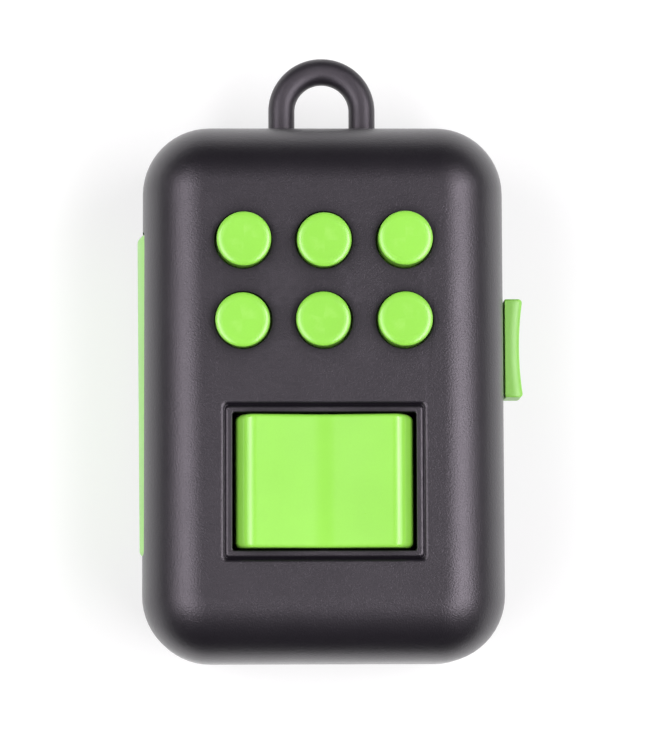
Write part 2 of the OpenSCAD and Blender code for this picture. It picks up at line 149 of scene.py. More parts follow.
CRADLE_SCREW_X, CRADLE_SCREW_Y = 7.0, 11.85  # from the rocker's middle
CRADLE_POSTS = [
    (sx * CRADLE_SCREW_X, ROCKER_Y + sy * CRADLE_SCREW_Y) for sx in (-1, 1) for sy in (-1, 1)
]

# Key loop, worry pad and the slider's slot
LOOP_BAR = 3.1  # thickness of the squarish bar
LOOP_BEND_R = 4.75
LOOP_CORNER_R = 1.4
PAD_HALF_L = 18.7
PAD_HALF_H = 6.0
PAD_CROWN = 1.0
PAD_LEAN = 0.33  # how much deeper the pad sits at its lower end
SLOT_HALF_L = 17.4
SLOT_HALF_H = 1.25


# ---------------------------------------------------------------- mesh helpers


def arc(start_deg, end_deg, steps):
    """Angles in radians from start to end, both included."""
    return [math.radians(start_deg + (end_deg - start_deg) * i / steps) for i in range(steps + 1)]


def plan_ring(half_w, half_l, radius, z, centre=(0, 0), steps=CORNER_STEPS):
    """Points round a rounded rectangle seen from above, anticlockwise."""
    points = []
    for quarter, (sx, sy) in enumerate(((1, 1), (-1, 1), (-1, -1), (1, -1))):
        for a in arc(90 * quarter, 90 * quarter + 90, steps):
            x = centre[0] + sx * (half_w - radius) + radius * math.cos(a)
            y = centre[1] + sy * (half_l - radius) + radius * math.sin(a)
            points.append(Vector((x, y, z)))
    return points


def circle_ring(centre, radius, z, steps=64):
    """Points round a level circle."""
    return [
        Vector((centre[0] + radius * math.cos(a), centre[1] + radius * math.sin(a), z))
        for a in arc(0, 360 - 360 / steps, steps - 1)
    ]


def skin(bm, rings, start_cap=True, end_cap=True):
    """A skin of quads over rings of points, with or without flat ends. Gives the rings of vertices."""
    made = [[bm.verts.new(point) for point in ring] for ring in rings]
    for low, high in zip(made, made[1:]):
        for i in range(len(low)):
            j = (i + 1) % len(low)
            bm.faces.new((low[i], low[j], high[j], high[i]))
    if start_cap:
        bm.faces.new(made[0])
    if end_cap:
        bm.faces.new(made[-1])
    return made


def fill_between(bm, loops):
    """Fills a flat outline that has holes. loops are rings of vertices, the outline first."""
    edges = []
    for loop in loops:
        for a, b in zip(loop, loop[1:] + loop[:1]):
            edges.append(bm.edges.get((a, b)) or bm.edges.new((a, b)))
    bmesh.ops.triangle_fill(bm, use_beauty=True, use_dissolve=False, edges=edges, normal=(0, 0, 1))


def soften(corners, steps=6):
    """Rounds a closed anticlockwise outline of (x, y, radius) corners into (point, outward normal) pairs."""
    out = []
    count = len(corners)
    for i, (x, y, radius) in enumerate(corners):
        here = Vector((x, y))
        back = (here - Vector(corners[i - 1][:2])).normalized()
        ahead = (Vector(corners[(i + 1) % count][:2]) - here).normalized()
        n1, n2 = Vector((back.y, -back.x)), Vector((ahead.y, -ahead.x))
        turn = math.atan2(back.x * ahead.y - back.y * ahead.x, back.dot(ahead))
        if radius == 0:
            out.append((here, (n1 + n2).normalized()))
            continue
        side = 1 if turn > 0 else -1
        centre = here - back * radius * math.tan(abs(turn) / 2) - n1 * radius * side
        for k in range(steps + 1):
            n = Matrix.Rotation(turn * k / steps, 2) @ n1
            out.append((centre + n * radius * side, n))
    return out


def block(bm, low, high, edge=0.12):
    """A box with small chamfers."""
    low, high = Vector(low), Vector(high)
    half = (high - low) / 2
    centre = (high + low) / 2
    e = min(edge, min(half) * 0.6)
    levels = ((low.z, e), (low.z + e, 0), (high.z - e, 0), (high.z, e))
    skin(bm, [
        plan_ring(half.x - inset, half.y - inset, max(0.01, e - inset), z, centre, 2)
        for z, inset in levels
    ])


def rod(bm, centre, radius, z_low, z_high, edge=0.1, steps=40):
    """An upright cylinder with small chamfers."""
    e = min(edge, (z_high - z_low) * 0.4)
    skin(bm, [
        circle_ring(centre, radius - inset, z, steps)
        for z, inset in ((z_low, e), (z_low + e, 0), (z_high - e, 0), (z_high, e))
    ])


def spun(bm, profile, centre, steps=72):
    """A closed solid of revolution from (radius, z) points, low end first."""
    return skin(bm, [circle_ring(centre, max(r, 0.002), z, steps) for r, z in profile])


def swept(bm, path, steps=20):
    """A round bar along path, a list of (centre, radius, direction in the plan, up)."""
    rings = []
    for centre, radius, across, up in path:
        rings.append([
            centre + (across * math.cos(a) + up * math.sin(a)) * radius
            for a in arc(0, 360 - 360 / steps, steps - 1)
        ])
    skin(bm, rings)


def mesh_object(name, bm):
    """Turns a bmesh into an object in the scene, with its faces looking outwards."""
    bmesh.ops.recalc_face_normals(bm, faces=bm.faces)
    mesh = bpy.data.meshes.new(name)
    bm.to_mesh(mesh)
    bm.free()
    made = bpy.data.objects.new(name, mesh)
    bpy.context.scene.collection.objects.link(made)
    return made


def combine(target, tool_bm, operation):
    """Joins a tool to the target mesh or cuts it away, and drops the tool."""
    tool = mesh_object("tool", tool_bm)
    step = target.modifiers.new("step", "BOOLEAN")
    step.object = tool
    step.operation = operation
    step.solver = "EXACT"
    graph = bpy.context.evaluated_depsgraph_get()
    changed = bpy.data.meshes.new_from_object(target.evaluated_get(graph))
    target.modifiers.clear()
    old = target.data
    target.data = changed
    bpy.data.meshes.remove(old)
    used = tool.data
    bpy.data.objects.remove(tool)
    bpy.data.meshes.remove(used)


def finish_piece(piece, material, body, stands_for, sharp_deg=32):
    """Scales a piece to metres, shades it, and hangs it on its CAD body in place of the CAD nodes."""
    mesh = piece.data
    bm = bmesh.new()
    bm.from_mesh(mesh)
    bmesh.ops.remove_doubles(bm, verts=bm.verts, dist=0.0005)
    bmesh.ops.dissolve_degenerate(bm, edges=bm.edges, dist=0.0003)
    for face in bm.faces:
        face.smooth = True
    bm.to_mesh(mesh)
    bm.free()
    mesh.set_sharp_from_angle(angle=math.radians(sharp_deg))
    mesh.transform(Matrix.Scale(MM, 4))
    mesh.materials.clear()
    mesh.materials.append(material)
    weigh = piece.modifiers.new("weighted_normals", "WEIGHTED_NORMAL")
    weigh.keep_sharp = True
    weigh.weight = 60
    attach(piece, body)
    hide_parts(*stands_for)
    return piece


# ---------------------------------------------------------------- materials


class Shader:
    """Small helper that builds one node material."""

    def __init__(self, name):
        self.material = bpy.data.materials.new(name)
        self.material.use_nodes = True
        self.tree = self.material.node_tree
        self.surface = self.tree.nodes["Principled BSDF"]
        self.place = self.add("ShaderNodeTexCoord").outputs["Object"]

    def add(self, kind, **values):
        """Adds a node and sets its properties or inputs."""
        node = self.tree.nodes.new(kind)
        for key, value in values.items():
            if hasattr(node, key):
                setattr(node, key, value)
            else:
                node.inputs[key].default_value = value
        return node

    def link(self, source, target):
        """Joins an output to an input."""
        self.tree.links.new(source, target)

    def noise(self, per_metre, detail=3.0, rough=0.55, stretch=(1, 1, 1)):
        """Noise fixed to the object, with about per_metre patches in a metre."""
        scaled = self.add("ShaderNodeMapping")
        scaled.inputs["Scale"].default_value = stretch
        self.link(self.place, scaled.inputs["Vector"])
        node = self.add("ShaderNodeTexNoise")
        node.inputs["Scale"].default_value = per_metre
        node.inputs["Detail"].default_value = detail
        node.inputs["Roughness"].default_value = rough
        self.link(scaled.outputs["Vector"], node.inputs["Vector"])
        return node.outputs["Fac"]

    def spread(self, source, low, high, from_low=0.3, from_high=0.7):
        """Maps source from one range to another, and holds it at the ends."""
        node = self.add("ShaderNodeMapRange")
        node.inputs["From Min"].default_value = from_low
        node.inputs["From Max"].default_value = from_high
        node.inputs["To Min"].default_value = low
        node.inputs["To Max"].default_value = high
        self.link(source, node.inputs["Value"])
        return node.outputs["Result"]

    def blend(self, share, first, second):
        """Mixes two colours, each a value or another node's output."""
        node = self.add("ShaderNodeMix")
        node.data_type = "RGBA"
        share_in, first_in, second_in, colour_out = 0, 6, 7, 2
        for value, socket in ((share, share_in), (first, first_in), (second, second_in)):
            if isinstance(value, bpy.types.NodeSocket):
                self.link(value, node.inputs[socket])
            else:
                node.inputs[socket].default_value = value
        return node.outputs[colour_out]

    def worn_edges(self, low, high, strength):
        """A mask of the convex edges, broken up by noise."""
        shape = self.add("ShaderNodeNewGeometry").outputs["Pointiness"]
        edge = self.spread(shape, 0.0, strength, low, high)
        patch = self.spread(self.noise(900, 4.0), 0.0, 1.0, 0.4, 0.62)
        node = self.add("ShaderNodeMath")
        node.operation = "MULTIPLY"
        self.link(edge, node.inputs[0])
        self.link(patch, node.inputs[1])
        return node.outputs["Value"]

    def bump(self, height, depth, strength, under=None):
        """A bump of that depth in metres, on top of another bump if one is given."""
        node = self.add("ShaderNodeBump")
        node.inputs["Distance"].default_value = depth
        node.inputs["Strength"].default_value = strength
        self.link(height, node.inputs["Height"])
        if under is not None:
            self.link(under, node.inputs["Normal"])
        return node.outputs["Normal"]


def rgba(colour, gain=1.0):
    """A colour with full opacity, made lighter or darker by gain."""
    return (colour[0] * gain, colour[1] * gain, colour[2] * gain, 1.0)


def moulded_plastic(
    name, colour, roughness, grain, worn, coat=(0.0, 0.2), specular=0.5, tint=(1, 1, 1, 1), painted_shade_reach=None
):
    """Moulded plastic: slow colour drift, fine grain, faint flow marks and rubbed edges.

    grain is its depth in metres, and coat is the weight and roughness of a second sheen.
    With a shade reach, in metres, both sheens dull where other surfaces stand within that distance, as
    painted shade near buttons and other parts.
    Without it, handling has made the second sheen uneven.
    """
    s = Shader(name)
    drift = s.spread(s.noise(70, 3.0), 0.0, 1.0)
    base = s.blend(drift, rgba(colour, 0.95), rgba(colour, 1.05))
    fine = s.noise(5200, 2.0)
    base = s.blend(s.spread(fine, 0.0, 0.10), base, rgba(colour, 1.25))
    base = s.blend(s.worn_edges(0.53, 0.60, 0.35), base, rgba(worn))
    s.link(base, s.surface.inputs["Base Color"])
    smudge = s.spread(s.noise(150, 4.0, 0.6), roughness - 0.04, roughness + 0.05, 0.2, 0.8)
    s.link(smudge, s.surface.inputs["Roughness"])
    coat_weight, coat_roughness = coat
    s.surface.inputs["Specular IOR Level"].default_value = specular
    s.surface.inputs["Specular Tint"].default_value = tint
    s.surface.inputs["Coat Roughness"].default_value = coat_roughness
    # Painted shade: an occlusion probe takes sheen away near other surfaces, which darkens the face round the
    # buttons, the rocker's groove and the posts.
    if painted_shade_reach:
        near = s.add("ShaderNodeAmbientOcclusion", samples=8)
        near.inputs["Distance"].default_value = painted_shade_reach
        free = near.outputs["AO"]
        covered, clear = 0.62, 0.97
        shade_dulled_specular = s.spread(free, 0.5 * specular, specular, covered, clear)
        s.link(shade_dulled_specular, s.surface.inputs["Specular IOR Level"])
        coat_shade_and_handling = s.spread(free, 0.4 * coat_weight, coat_weight, covered, clear)
    else:
        handled = s.noise(230, 3.0, 0.5, (1.0, 0.7, 1.0))
        coat_shade_and_handling = s.spread(handled, 0.5 * coat_weight, 1.1 * coat_weight, 0.25, 0.75)
    s.link(coat_shade_and_handling, s.surface.inputs["Coat Weight"])
    flow = s.bump(s.noise(260, 2.0), 0.00002, 0.25)
    s.link(s.bump(fine, grain, 0.5, flow), s.surface.inputs["Normal"])
    return s.material


def metal(name, colour, roughness, stretch, scratch=0.000004):
    """Metal with drawing or turning marks, dull patches and brighter worn edges."""
    s = Shader(name)
    drift = s.spread(s.noise(300, 3.0), 0.0, 1.0)
    base = s.blend(drift, rgba(colour, 0.88), rgba(colour, 1.05))
    base = s.blend(s.worn_edges(0.52, 0.60, 0.5), base, rgba(colour, 1.25))
    s.link(base, s.surface.inputs["Base Color"])
    s.surface.inputs["Metallic"].default_value = 1.0
    lines = s.noise(2500, 3.0, 0.6, stretch)
    s.link(s.spread(lines, roughness - 0.07, roughness + 0.10), s.surface.inputs["Roughness"])
    s.link(s.bump(lines, scratch, 0.6), s.surface.inputs["Normal"])
    return s.material


BLACK_TINT = (0.97, 0.91, 1.0, 1.0)
WORN_BLACK = (0.030, 0.027, 0.034)

# Its last value paints shade round the buttons, the rocker's opening and the posts, by dulling the sheens
# there.
black = moulded_plastic(
    "soft_black", (0.0062, 0.0052, 0.0080), roughness=0.32, grain=0.00009,
    worn=WORN_BLACK, coat=(0.66, 0.47), specular=0.62, tint=BLACK_TINT, painted_shade_reach=0.0026,
)
lime = moulded_plastic(
    "lime_gloss", (0.300, 0.765, 0.077), roughness=0.30, grain=0.000006,
    worn=(0.42, 0.86, 0.16), coat=(0.85, 0.16), specular=0.5,
)
lime_satin = moulded_plastic(
    "lime_satin", (0.306, 0.765, 0.104), roughness=0.44, grain=0.000006,
    worn=(0.42, 0.88, 0.17), coat=(0.45, 0.3), specular=0.7,
)
loop_black = moulded_plastic(
    "loop_black", (0.0075, 0.0064, 0.0092), roughness=0.46, grain=0.00007,
    worn=WORN_BLACK, coat=(0.62, 0.5), specular=0.75, tint=BLACK_TINT,
)
inner_black = moulded_plastic(
    "inner_black", (0.05, 0.05, 0.055), roughness=0.58, grain=0.00002, worn=(0.09, 0.09, 0.095)
)
zinc = metal("zinc_screw", (0.56, 0.57, 0.60), roughness=0.30, stretch=(1, 1, 4))
spring_wire = metal("spring_wire", (0.52, 0.52, 0.54), roughness=0.26, stretch=(1, 1, 3))
ground_pin = metal("dark_pin", (0.03, 0.03, 0.032), roughness=0.5, stretch=(1, 8, 1))
brass = metal("leaf_brass", (0.78, 0.56, 0.22), roughness=0.28, stretch=(1, 5, 1))


# ---------------------------------------------------------------- case


def shell_rings(sign, rim):
    """Plan rings of one shell, from the edge of its outer face over the sides to the edge of its inner face.

    sign is 1 for the front shell and -1 for the back one. rim holds the (inset, height over the split)
    points between the outer and the inner skin.
    """
    outline = []
    for a in arc(90, 0, FILLET_STEPS):
        outline.append((EDGE_R * (1 - math.cos(a)), SPLIT_Z - EDGE_R + EDGE_R * math.sin(a)))
    outline += [(0, SEAM_CHAMFER), (SEAM_CHAMFER, 0)]
    outline += rim
    for a in arc(0, 90, FILLET_STEPS // 2):
        outline.append((
            SIDE_WALL + INNER_EDGE_R * (1 - math.cos(a)),
            SPLIT_Z - FACE_WALL - INNER_EDGE_R + INNER_EDGE_R * math.sin(a),
        ))
    return [
        plan_ring(HALF_W - inset, HALF_L - inset, CORNER_R - inset, SPLIT_Z + sign * height)
        for inset, height in outline
    ]


def bezel_profile():
    """(distance out from the opening, depth under the face) points, from the face inwards.

    They run over a rounded shoulder, the bottom of the groove, the rounded lip and its inner edge.
    """
    shoulder_r, lip_r, inner_r = 0.5, 0.38, 0.13
    points = [(BEZEL_OUT - shoulder_r * math.sin(a), shoulder_r * (1 - math.cos(a))) for a in arc(0, 68, 7)]
    points.append((GROOVE_OUT, GROOVE_DEPTH))
    points += [(LIP_OUT + lip_r * math.sin(a), lip_r * (1 - math.cos(a))) for a in arc(72, 0, 6)]
    points += [(inner_r * (1 - math.sin(a)), inner_r * (1 - math.cos(a))) for a in arc(0, 90, 4)]
    return points


def side_cutters():
    """Tools for the slider's slot, the pad's window and the loop's two holes, flared at the surface."""
    bm = bmesh.new()
    flare = 0.12
    past = 1.0  # how far the tools reach past the wall on both sides
    windows = (  # side, half length, half height, corner radius, where the flare meets the surface
        (1, SLOT_HALF_L, SLOT_HALF_H, 0.3, HALF_W),
        (-1, PAD_HALF_L + FIT, PAD_HALF_H + FIT, 0.5, HALF_W - 0.2),
    )
    for side, half_y, half_z, corner, skin_x in windows:
        stations = (
            (HALF_W - SIDE_WALL - past, 0),
            (skin_x - flare, 0),
            (skin_x, flare),
            (HALF_W + past, flare),
        )
        rings = []
        for x, grow in stations:
            ring = plan_ring(half_z + grow, half_y + grow, corner + grow, 0, steps=5)
            rings.append([Vector((side * x, p.y, SPLIT_Z + p.x)) for p in ring])
        skin(bm, rings)
    half_hole = LOOP_BAR / 2 + FIT
    stations = (
        (HALF_L - SIDE_WALL - past, 0),
        (HALF_L - flare, 0),
        (HALF_L, flare),
        (HALF_L + past, flare),
    )
    for side in (-1, 1):
        centre = (side * LOOP_BEND_R, SPLIT_Z)
        rings = []
        for y, grow in stations:
            ring = plan_ring(half_hole + grow, half_hole + grow, LOOP_CORNER_R + grow, 0, centre, 8)
            rings.append([Vector((p.x, y, p.y)) for p in ring])
        skin(bm, rings)
    return bm


def add_ribs(bm, z_low, z_high):
    """The loop's clamp, the two pad clamps and the slider's long guide."""
    thick = 1.0
    loop_clamp_half_w, pad_clamp_half_l = 4, 2
    guide_inner_x, guide_outer_x, guide_half_l = 14.6, 15.4, 20.8
    foot_y = box_mm("key_loop")[0].y - FIT
    block(bm, (-loop_clamp_half_w, foot_y - thick, z_low), (loop_clamp_half_w, foot_y, z_high))
    pad_x = box_mm("worry_pad")[1].x + FIT
    for side in (-1, 1):
        y = side * 2 * PAD_HALF_L / 3
        block(bm, (pad_x, y - pad_clamp_half_l, z_low), (pad_x + thick, y + pad_clamp_half_l, z_high))
    block(bm, (guide_inner_x, -guide_half_l, z_low), (guide_outer_x, guide_half_l, z_high))


def build_front():
    """The half with the buttons' holes and the rocker's opening, and the posts that hang from its face."""
    bm = bmesh.new()
    rebate_h = TONGUE_H + TONGUE_GAP
    rim = [(SIDE_WALL / 2, 0), (SIDE_WALL / 2, rebate_h), (SIDE_WALL, rebate_h)]
    rings = skin(bm, shell_rings(1, rim), False, False)
    outer_loops, inner_loops = [rings[0]], [rings[-1]]
    for place in button_places.values():
        hole = []
        for a in arc(0, 90, 6):
            radius = HOLE_R + HOLE_EDGE_R * (1 - math.sin(a))
            hole.append(circle_ring(place, radius, TOP_Z - HOLE_EDGE_R * (1 - math.cos(a))))
        hole.append(circle_ring(place, HOLE_R, INSIDE_TOP))
        made = skin(bm, hole, False, False)
        outer_loops.append(made[0])
        inner_loops.append(made[-1])
    frame_rings = []
    for out, depth in bezel_profile() + [(0, FACE_WALL)]:
        corner = 0.3 + max(0.0, out - 0.1) * 0.25  # the corners grow rounder from the inner edge outwards
        half_w = OPENING_HALF_W + out
        ring = plan_ring(half_w, OPENING_HALF_L + out, corner, TOP_Z - depth, (0, ROCKER_Y), 6)
        if out > LIP_OUT:
            for p in ring:
                sideways = min(1.0, max(0.0, abs(p.x) - half_w + corner) / corner)
                p.z += depth * SIDE_GROOVE_RISE * sideways**2
        frame_rings.append(ring)
    made = skin(bm, frame_rings, False, False)
    outer_loops.append(made[0])
    inner_loops.append(made[-1])
    fill_between(bm, outer_loops)
    fill_between(bm, inner_loops)
    front = mesh_object("case_front", bm)

    posts = bmesh.new()
    for centre in BOSSES:
        rod(posts, centre, UPPER_BOSS_R, BOSS_MEET_Z, INSIDE_TOP + SUNK)
    for centre in PLATE_POSTS:
        rod(posts, centre, POST_R, PLATE_TOP, INSIDE_TOP + SUNK)
    for centre in CRADLE_POSTS:
        rod(posts, centre, POST_R, CRADLE_TOP, INSIDE_TOP + SUNK)
    add_ribs(posts, SPLIT_Z + FIT, INSIDE_TOP)
    combine(front, posts, "UNION")

    holes = bmesh.new()
    below = 1.0  # how far the drills start below the posts
    for centre in BOSSES:
        rod(holes, centre, CASE_PILOT_R, BOSS_MEET_Z - below, CASE_PILOT_TOP, DRILL_EDGE)
    for centre in PLATE_POSTS:
        rod(holes, centre, SMALL_PILOT_R, PLATE_TOP - below, PLATE_TOP + PLATE_PILOT_L, DRILL_EDGE)
    for centre in CRADLE_POSTS:
        rod(holes, centre, SMALL_PILOT_R, CRADLE_TOP - below, CRADLE_TOP + CRADLE_PILOT_L, DRILL_EDGE)
    combine(front, holes, "DIFFERENCE")
    combine(front, side_cutters(), "DIFFERENCE")
    return finish_piece(front, black, "case", ["front_shell"])


def build_back():
    """The half with the tongue, the screws' head pockets and the lower bosses."""
    bm = bmesh.new()
    inset = SIDE_WALL / 2 + TONGUE_GAP
    edge = 0.1
    rim = [(inset, 0), (inset, edge - TONGUE_H), (inset + edge, -TONGUE_H), (SIDE_WALL, -TONGUE_H)]
    rings = skin(bm, shell_rings(-1, rim), True, True)
    back = mesh_object("case_back", bm)

    posts = bmesh.new()
    for centre in BOSSES:
        rod(posts, centre, LOWER_BOSS_R, FLOOR_Z - SUNK, BOSS_MEET_Z - FIT)
    add_ribs(posts, FLOOR_Z, SPLIT_Z - FIT)
    combine(back, posts, "UNION")

    holes = bmesh.new()
    flare, clearance_r, past = 0.25, 1.1, 1.0
    profile = [
        (HEAD_POCKET_R + flare, -past), (HEAD_POCKET_R + flare, 0), (HEAD_POCKET_R, flare),
        (HEAD_POCKET_R, FLOOR_Z), (clearance_r, FLOOR_Z), (clearance_r, BOSS_MEET_Z + past),
    ]
    for centre in BOSSES:
        spun(holes, profile, centre, 64)
    combine(back, holes, "DIFFERENCE")
    combine(back, side_cutters(), "DIFFERENCE")
    return finish_piece(back, black, "case", ["back_shell"])


def build_loop():
    """A horseshoe of squarish bar with its foot inside the case."""
    low, high = box_mm("key_loop")
    spare = 0.06  # the bar is a little thinner than the CAD's, and stays clear of the box's end
    centre_y = high.y - spare - LOOP_BEND_R - LOOP_BAR / 2
    foot_l = 1.5
    foot_top = low.y + foot_l
    section = plan_ring(LOOP_BAR / 2, LOOP_BAR / 2, LOOP_CORNER_R, 0, steps=8)
    leg = (foot_top - 0.4, HALF_L + 0.6, centre_y - 0.05)  # from inside the foot to just before the bend
    stations = [(LOOP_BEND_R, y, 0) for y in leg]
    stations += [
        (LOOP_BEND_R * math.cos(a), centre_y + LOOP_BEND_R * math.sin(a), a) for a in arc(0, 180, 60)
    ]
    stations += [(-LOOP_BEND_R, y, math.pi) for y in reversed(leg)]
    bm = bmesh.new()
    skin(bm, [
        [Vector((x + p.x * math.cos(a), y + p.x * math.sin(a), SPLIT_Z + p.y)) for p in section]
        for x, y, a in stations
    ])
    loop = mesh_object("loop_bar", bm)
    foot = bmesh.new()
    block(foot, low, (high.x, foot_top, high.z), 0.25)
    combine(loop, foot, "UNION")
    return finish_piece(loop, loop_black, "case", ["key_loop"])


def build_pad():
    """The smooth crowned bar in the left side. It sits a little deeper at its lower end."""
    low, high = box_mm("worry_pad")
    centre_z = (low.z + high.z) / 2
    crown_r = (PAD_HALF_H**2 + PAD_CROWN**2) / (2 * PAD_CROWN)
    end_r, edge_r, deep = 0.6, 0.2, high.x - 0.9

    def out_to(z):
        """Where the crowned face is, at a height z from the pad's middle."""
        return low.x + crown_r - math.sqrt(crown_r**2 - z**2)

    half_h = PAD_HALF_H - edge_r
    steps = 14
    profile = [(half_h * k / steps, out_to(half_h * k / steps)) for k in range(-steps, steps + 1)]
    side_x = out_to(half_h) + edge_r
    diagonal = 0.7 * edge_r
    profile.append((half_h + diagonal, side_x - diagonal))
    profile += [(PAD_HALF_H, side_x), (PAD_HALF_H, deep), (-PAD_HALF_H, deep), (-PAD_HALF_H, side_x)]
    profile.append((-half_h - diagonal, side_x - diagonal))
    levels = [(PAD_HALF_L - end_r + end_r * math.sin(a), end_r * (1 - math.cos(a))) for a in arc(0, 90, 7)]
    levels = [(-y, drop) for y, drop in reversed(levels)] + levels
    bm = bmesh.new()
    skin(bm, [[Vector((min(x + drop, deep), y, centre_z + z)) for z, x in profile] for y, drop in levels])
    for vert in bm.verts:
        if vert.co.x < 1.0 - HALF_W:
            vert.co.x += PAD_LEAN * (PAD_HALF_L - vert.co.y) / (2 * PAD_HALF_L)
    pad = mesh_object("pad_bar", bm)
    rim = bmesh.new()
    half_tall = (high.z - low.z) / 2
    rim_h, core_h, core_half_h = 0.6, 1.2, 3.9
    outline = [
        (high.x, half_tall), (high.x, -half_tall), (high.x - rim_h, -half_tall),
        (high.x - core_h, -core_half_h), (high.x - core_h, core_half_h), (high.x - rim_h, half_tall),
    ]
    skin(rim, [[Vector((x, y, centre_z + z)) for x, z in outline] for y in (low.y, high.y)])
    combine(pad, rim, "UNION")
    return finish_piece(pad, lime_satin, "case", ["worry_pad"])


# ---------------------------------------------------------------- screws and springs


def pan_screw(bm, centre, bearing_z, head_r, head_h, shank_r, length):
    """A pan-head screw pointing up, its head below bearing_z."""
    crown_z = bearing_z - head_h
    edge, tip_h = 0.05, 0.4
    # Shares of the head's radius and height
    crown = ((0.0, 0.0), (0.45, 0.03), (0.78, 0.16), (0.95, 0.42), (1.0, 0.7))
    profile = [(head_r * across, crown_z + head_h * up) for across, up in crown]
    profile += [(head_r, bearing_z - edge), (head_r - edge, bearing_z), (shank_r, bearing_z)]
    profile += [(shank_r, bearing_z + length - tip_h), (shank_r * 0.55, bearing_z + length)]
    profile.append((0.0, bearing_z + length))
    spun(bm, profile, centre, 48)


def build_case_screws():
    """The four screws in the back, each turned to another angle, with a cross in its head."""
    low, high = box_mm("case_screws")
    bm = bmesh.new()
    for centre in BOSSES:
        pan_screw(bm, centre, FLOOR_Z, CASE_HEAD_R, FLOOR_Z - low.z, CASE_SHANK_R, high.z - FLOOR_Z)
    screws = mesh_object("case_screw_set", bm)
    first_turn, next_turn = 17, 31  # degrees
    arm_levels = (  # height over the head's crown, half width, half length
        (-0.5, 0.27, 1.15),
        (0.02, 0.25, 1.1),
        (0.62, 0.16, 0.5),
    )
    for k, (x, y) in enumerate(BOSSES):
        for quarter in (0, 90):
            turn = Matrix.Rotation(math.radians(first_turn + next_turn * k + quarter), 4, "Z")
            turned = Matrix.Translation((x, y, 0)) @ turn
            arm = bmesh.new()
            skin(arm, [
                [
                    turned @ Vector((sx * half_l, sy * half_w, low.z + up))
                    for sx, sy in ((1, 1), (-1, 1), (-1, -1), (1, -1))
                ]
                for up, half_w, half_l in arm_levels
            ])
            combine(screws, arm, "DIFFERENCE")
    return finish_piece(screws, zinc, "case", ["case_screws"])


def build_coil(name, node, wire_r, turns):
    """A compression spring with closed ends."""
    low, high = box_mm(node)
    centre = (low + high) / 2
    mean_r = (high.x - low.x) / 2 - wire_r
    length = high.z - low.z - 2 * wire_r
    per_turn = 30
    closed = 0.75  # turns that lie flat at each end
    closed_pitch = 2.15 * wire_r
    open_turns = turns - 2 * closed
    open_rise = length - 2 * closed * closed_pitch
    up = Vector((0, 0, 1))
    path = []
    for i in range(turns * per_turn + 1):
        t = i / per_turn
        if t < closed:
            z = t * closed_pitch
        elif t > turns - closed:
            z = length - (turns - t) * closed_pitch
        else:
            z = closed * closed_pitch + (t - closed) / open_turns * open_rise
        out = Vector((math.cos(math.tau * t), math.sin(math.tau * t), 0))
        spot = Vector((centre.x, centre.y, low.z + wire_r + z)) + out * mean_r
        path.append((spot, wire_r, out, up))
    bm = bmesh.new()
    swept(bm, path, 10)
    coil = mesh_object(name, bm)
    finish_piece(coil, spring_wire, "case", [node], sharp_deg=60)
    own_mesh(coil)
    return coil


# ---------------------------------------------------------------- buttons


def build_button(row, column):
    """A round cap with a soft edge, its flange under the face, and its stem."""
    node = f"button_{row}_{column}"
    low, high = box_mm(node)
    centre = (low + high) / 2
    top = high.z
    stem_r, stem_edge = 1.2, 0.3
    flange_r = (high.x - low.x) / 2
    flange_gap, flange_h, flange_edge = 0.05, 0.8, 0.1
    flange_top = INSIDE_TOP - flange_gap
    flange_z = flange_top - flange_h
    shoulder, drop = 0.9, 0.36  # width and height of the cap's rounded rim
    profile = [
        (0.0, low.z), (stem_r - stem_edge, low.z), (stem_r, low.z + stem_edge), (stem_r, flange_z),
        (flange_r - flange_edge, flange_z), (flange_r, flange_z + flange_edge),
        (flange_r, flange_top - flange_edge), (flange_r - flange_edge, flange_top), (CAP_R, flange_top),
    ]
    for a in arc(0, 90, 12):
        profile.append((CAP_R - shoulder * (1 - math.cos(a)), top - drop * (1 - math.sin(a))))
    profile += [(stem_r, top), (0.0, top)]
    bm = bmesh.new()
    spun(bm, profile, centre)
    lean_x, lean_y = LEAN[row, column]
    for vert in bm.verts:
        share = max(0.0, (vert.co.z - flange_top) / (top - flange_top))
        vert.co.x += lean_x * share
        vert.co.y += lean_y * share
    cap = mesh_object(f"cap_{row}_{column}", bm)
    return finish_piece(cap, lime, node + "_body", [node])


# ---------------------------------------------------------------- rocker


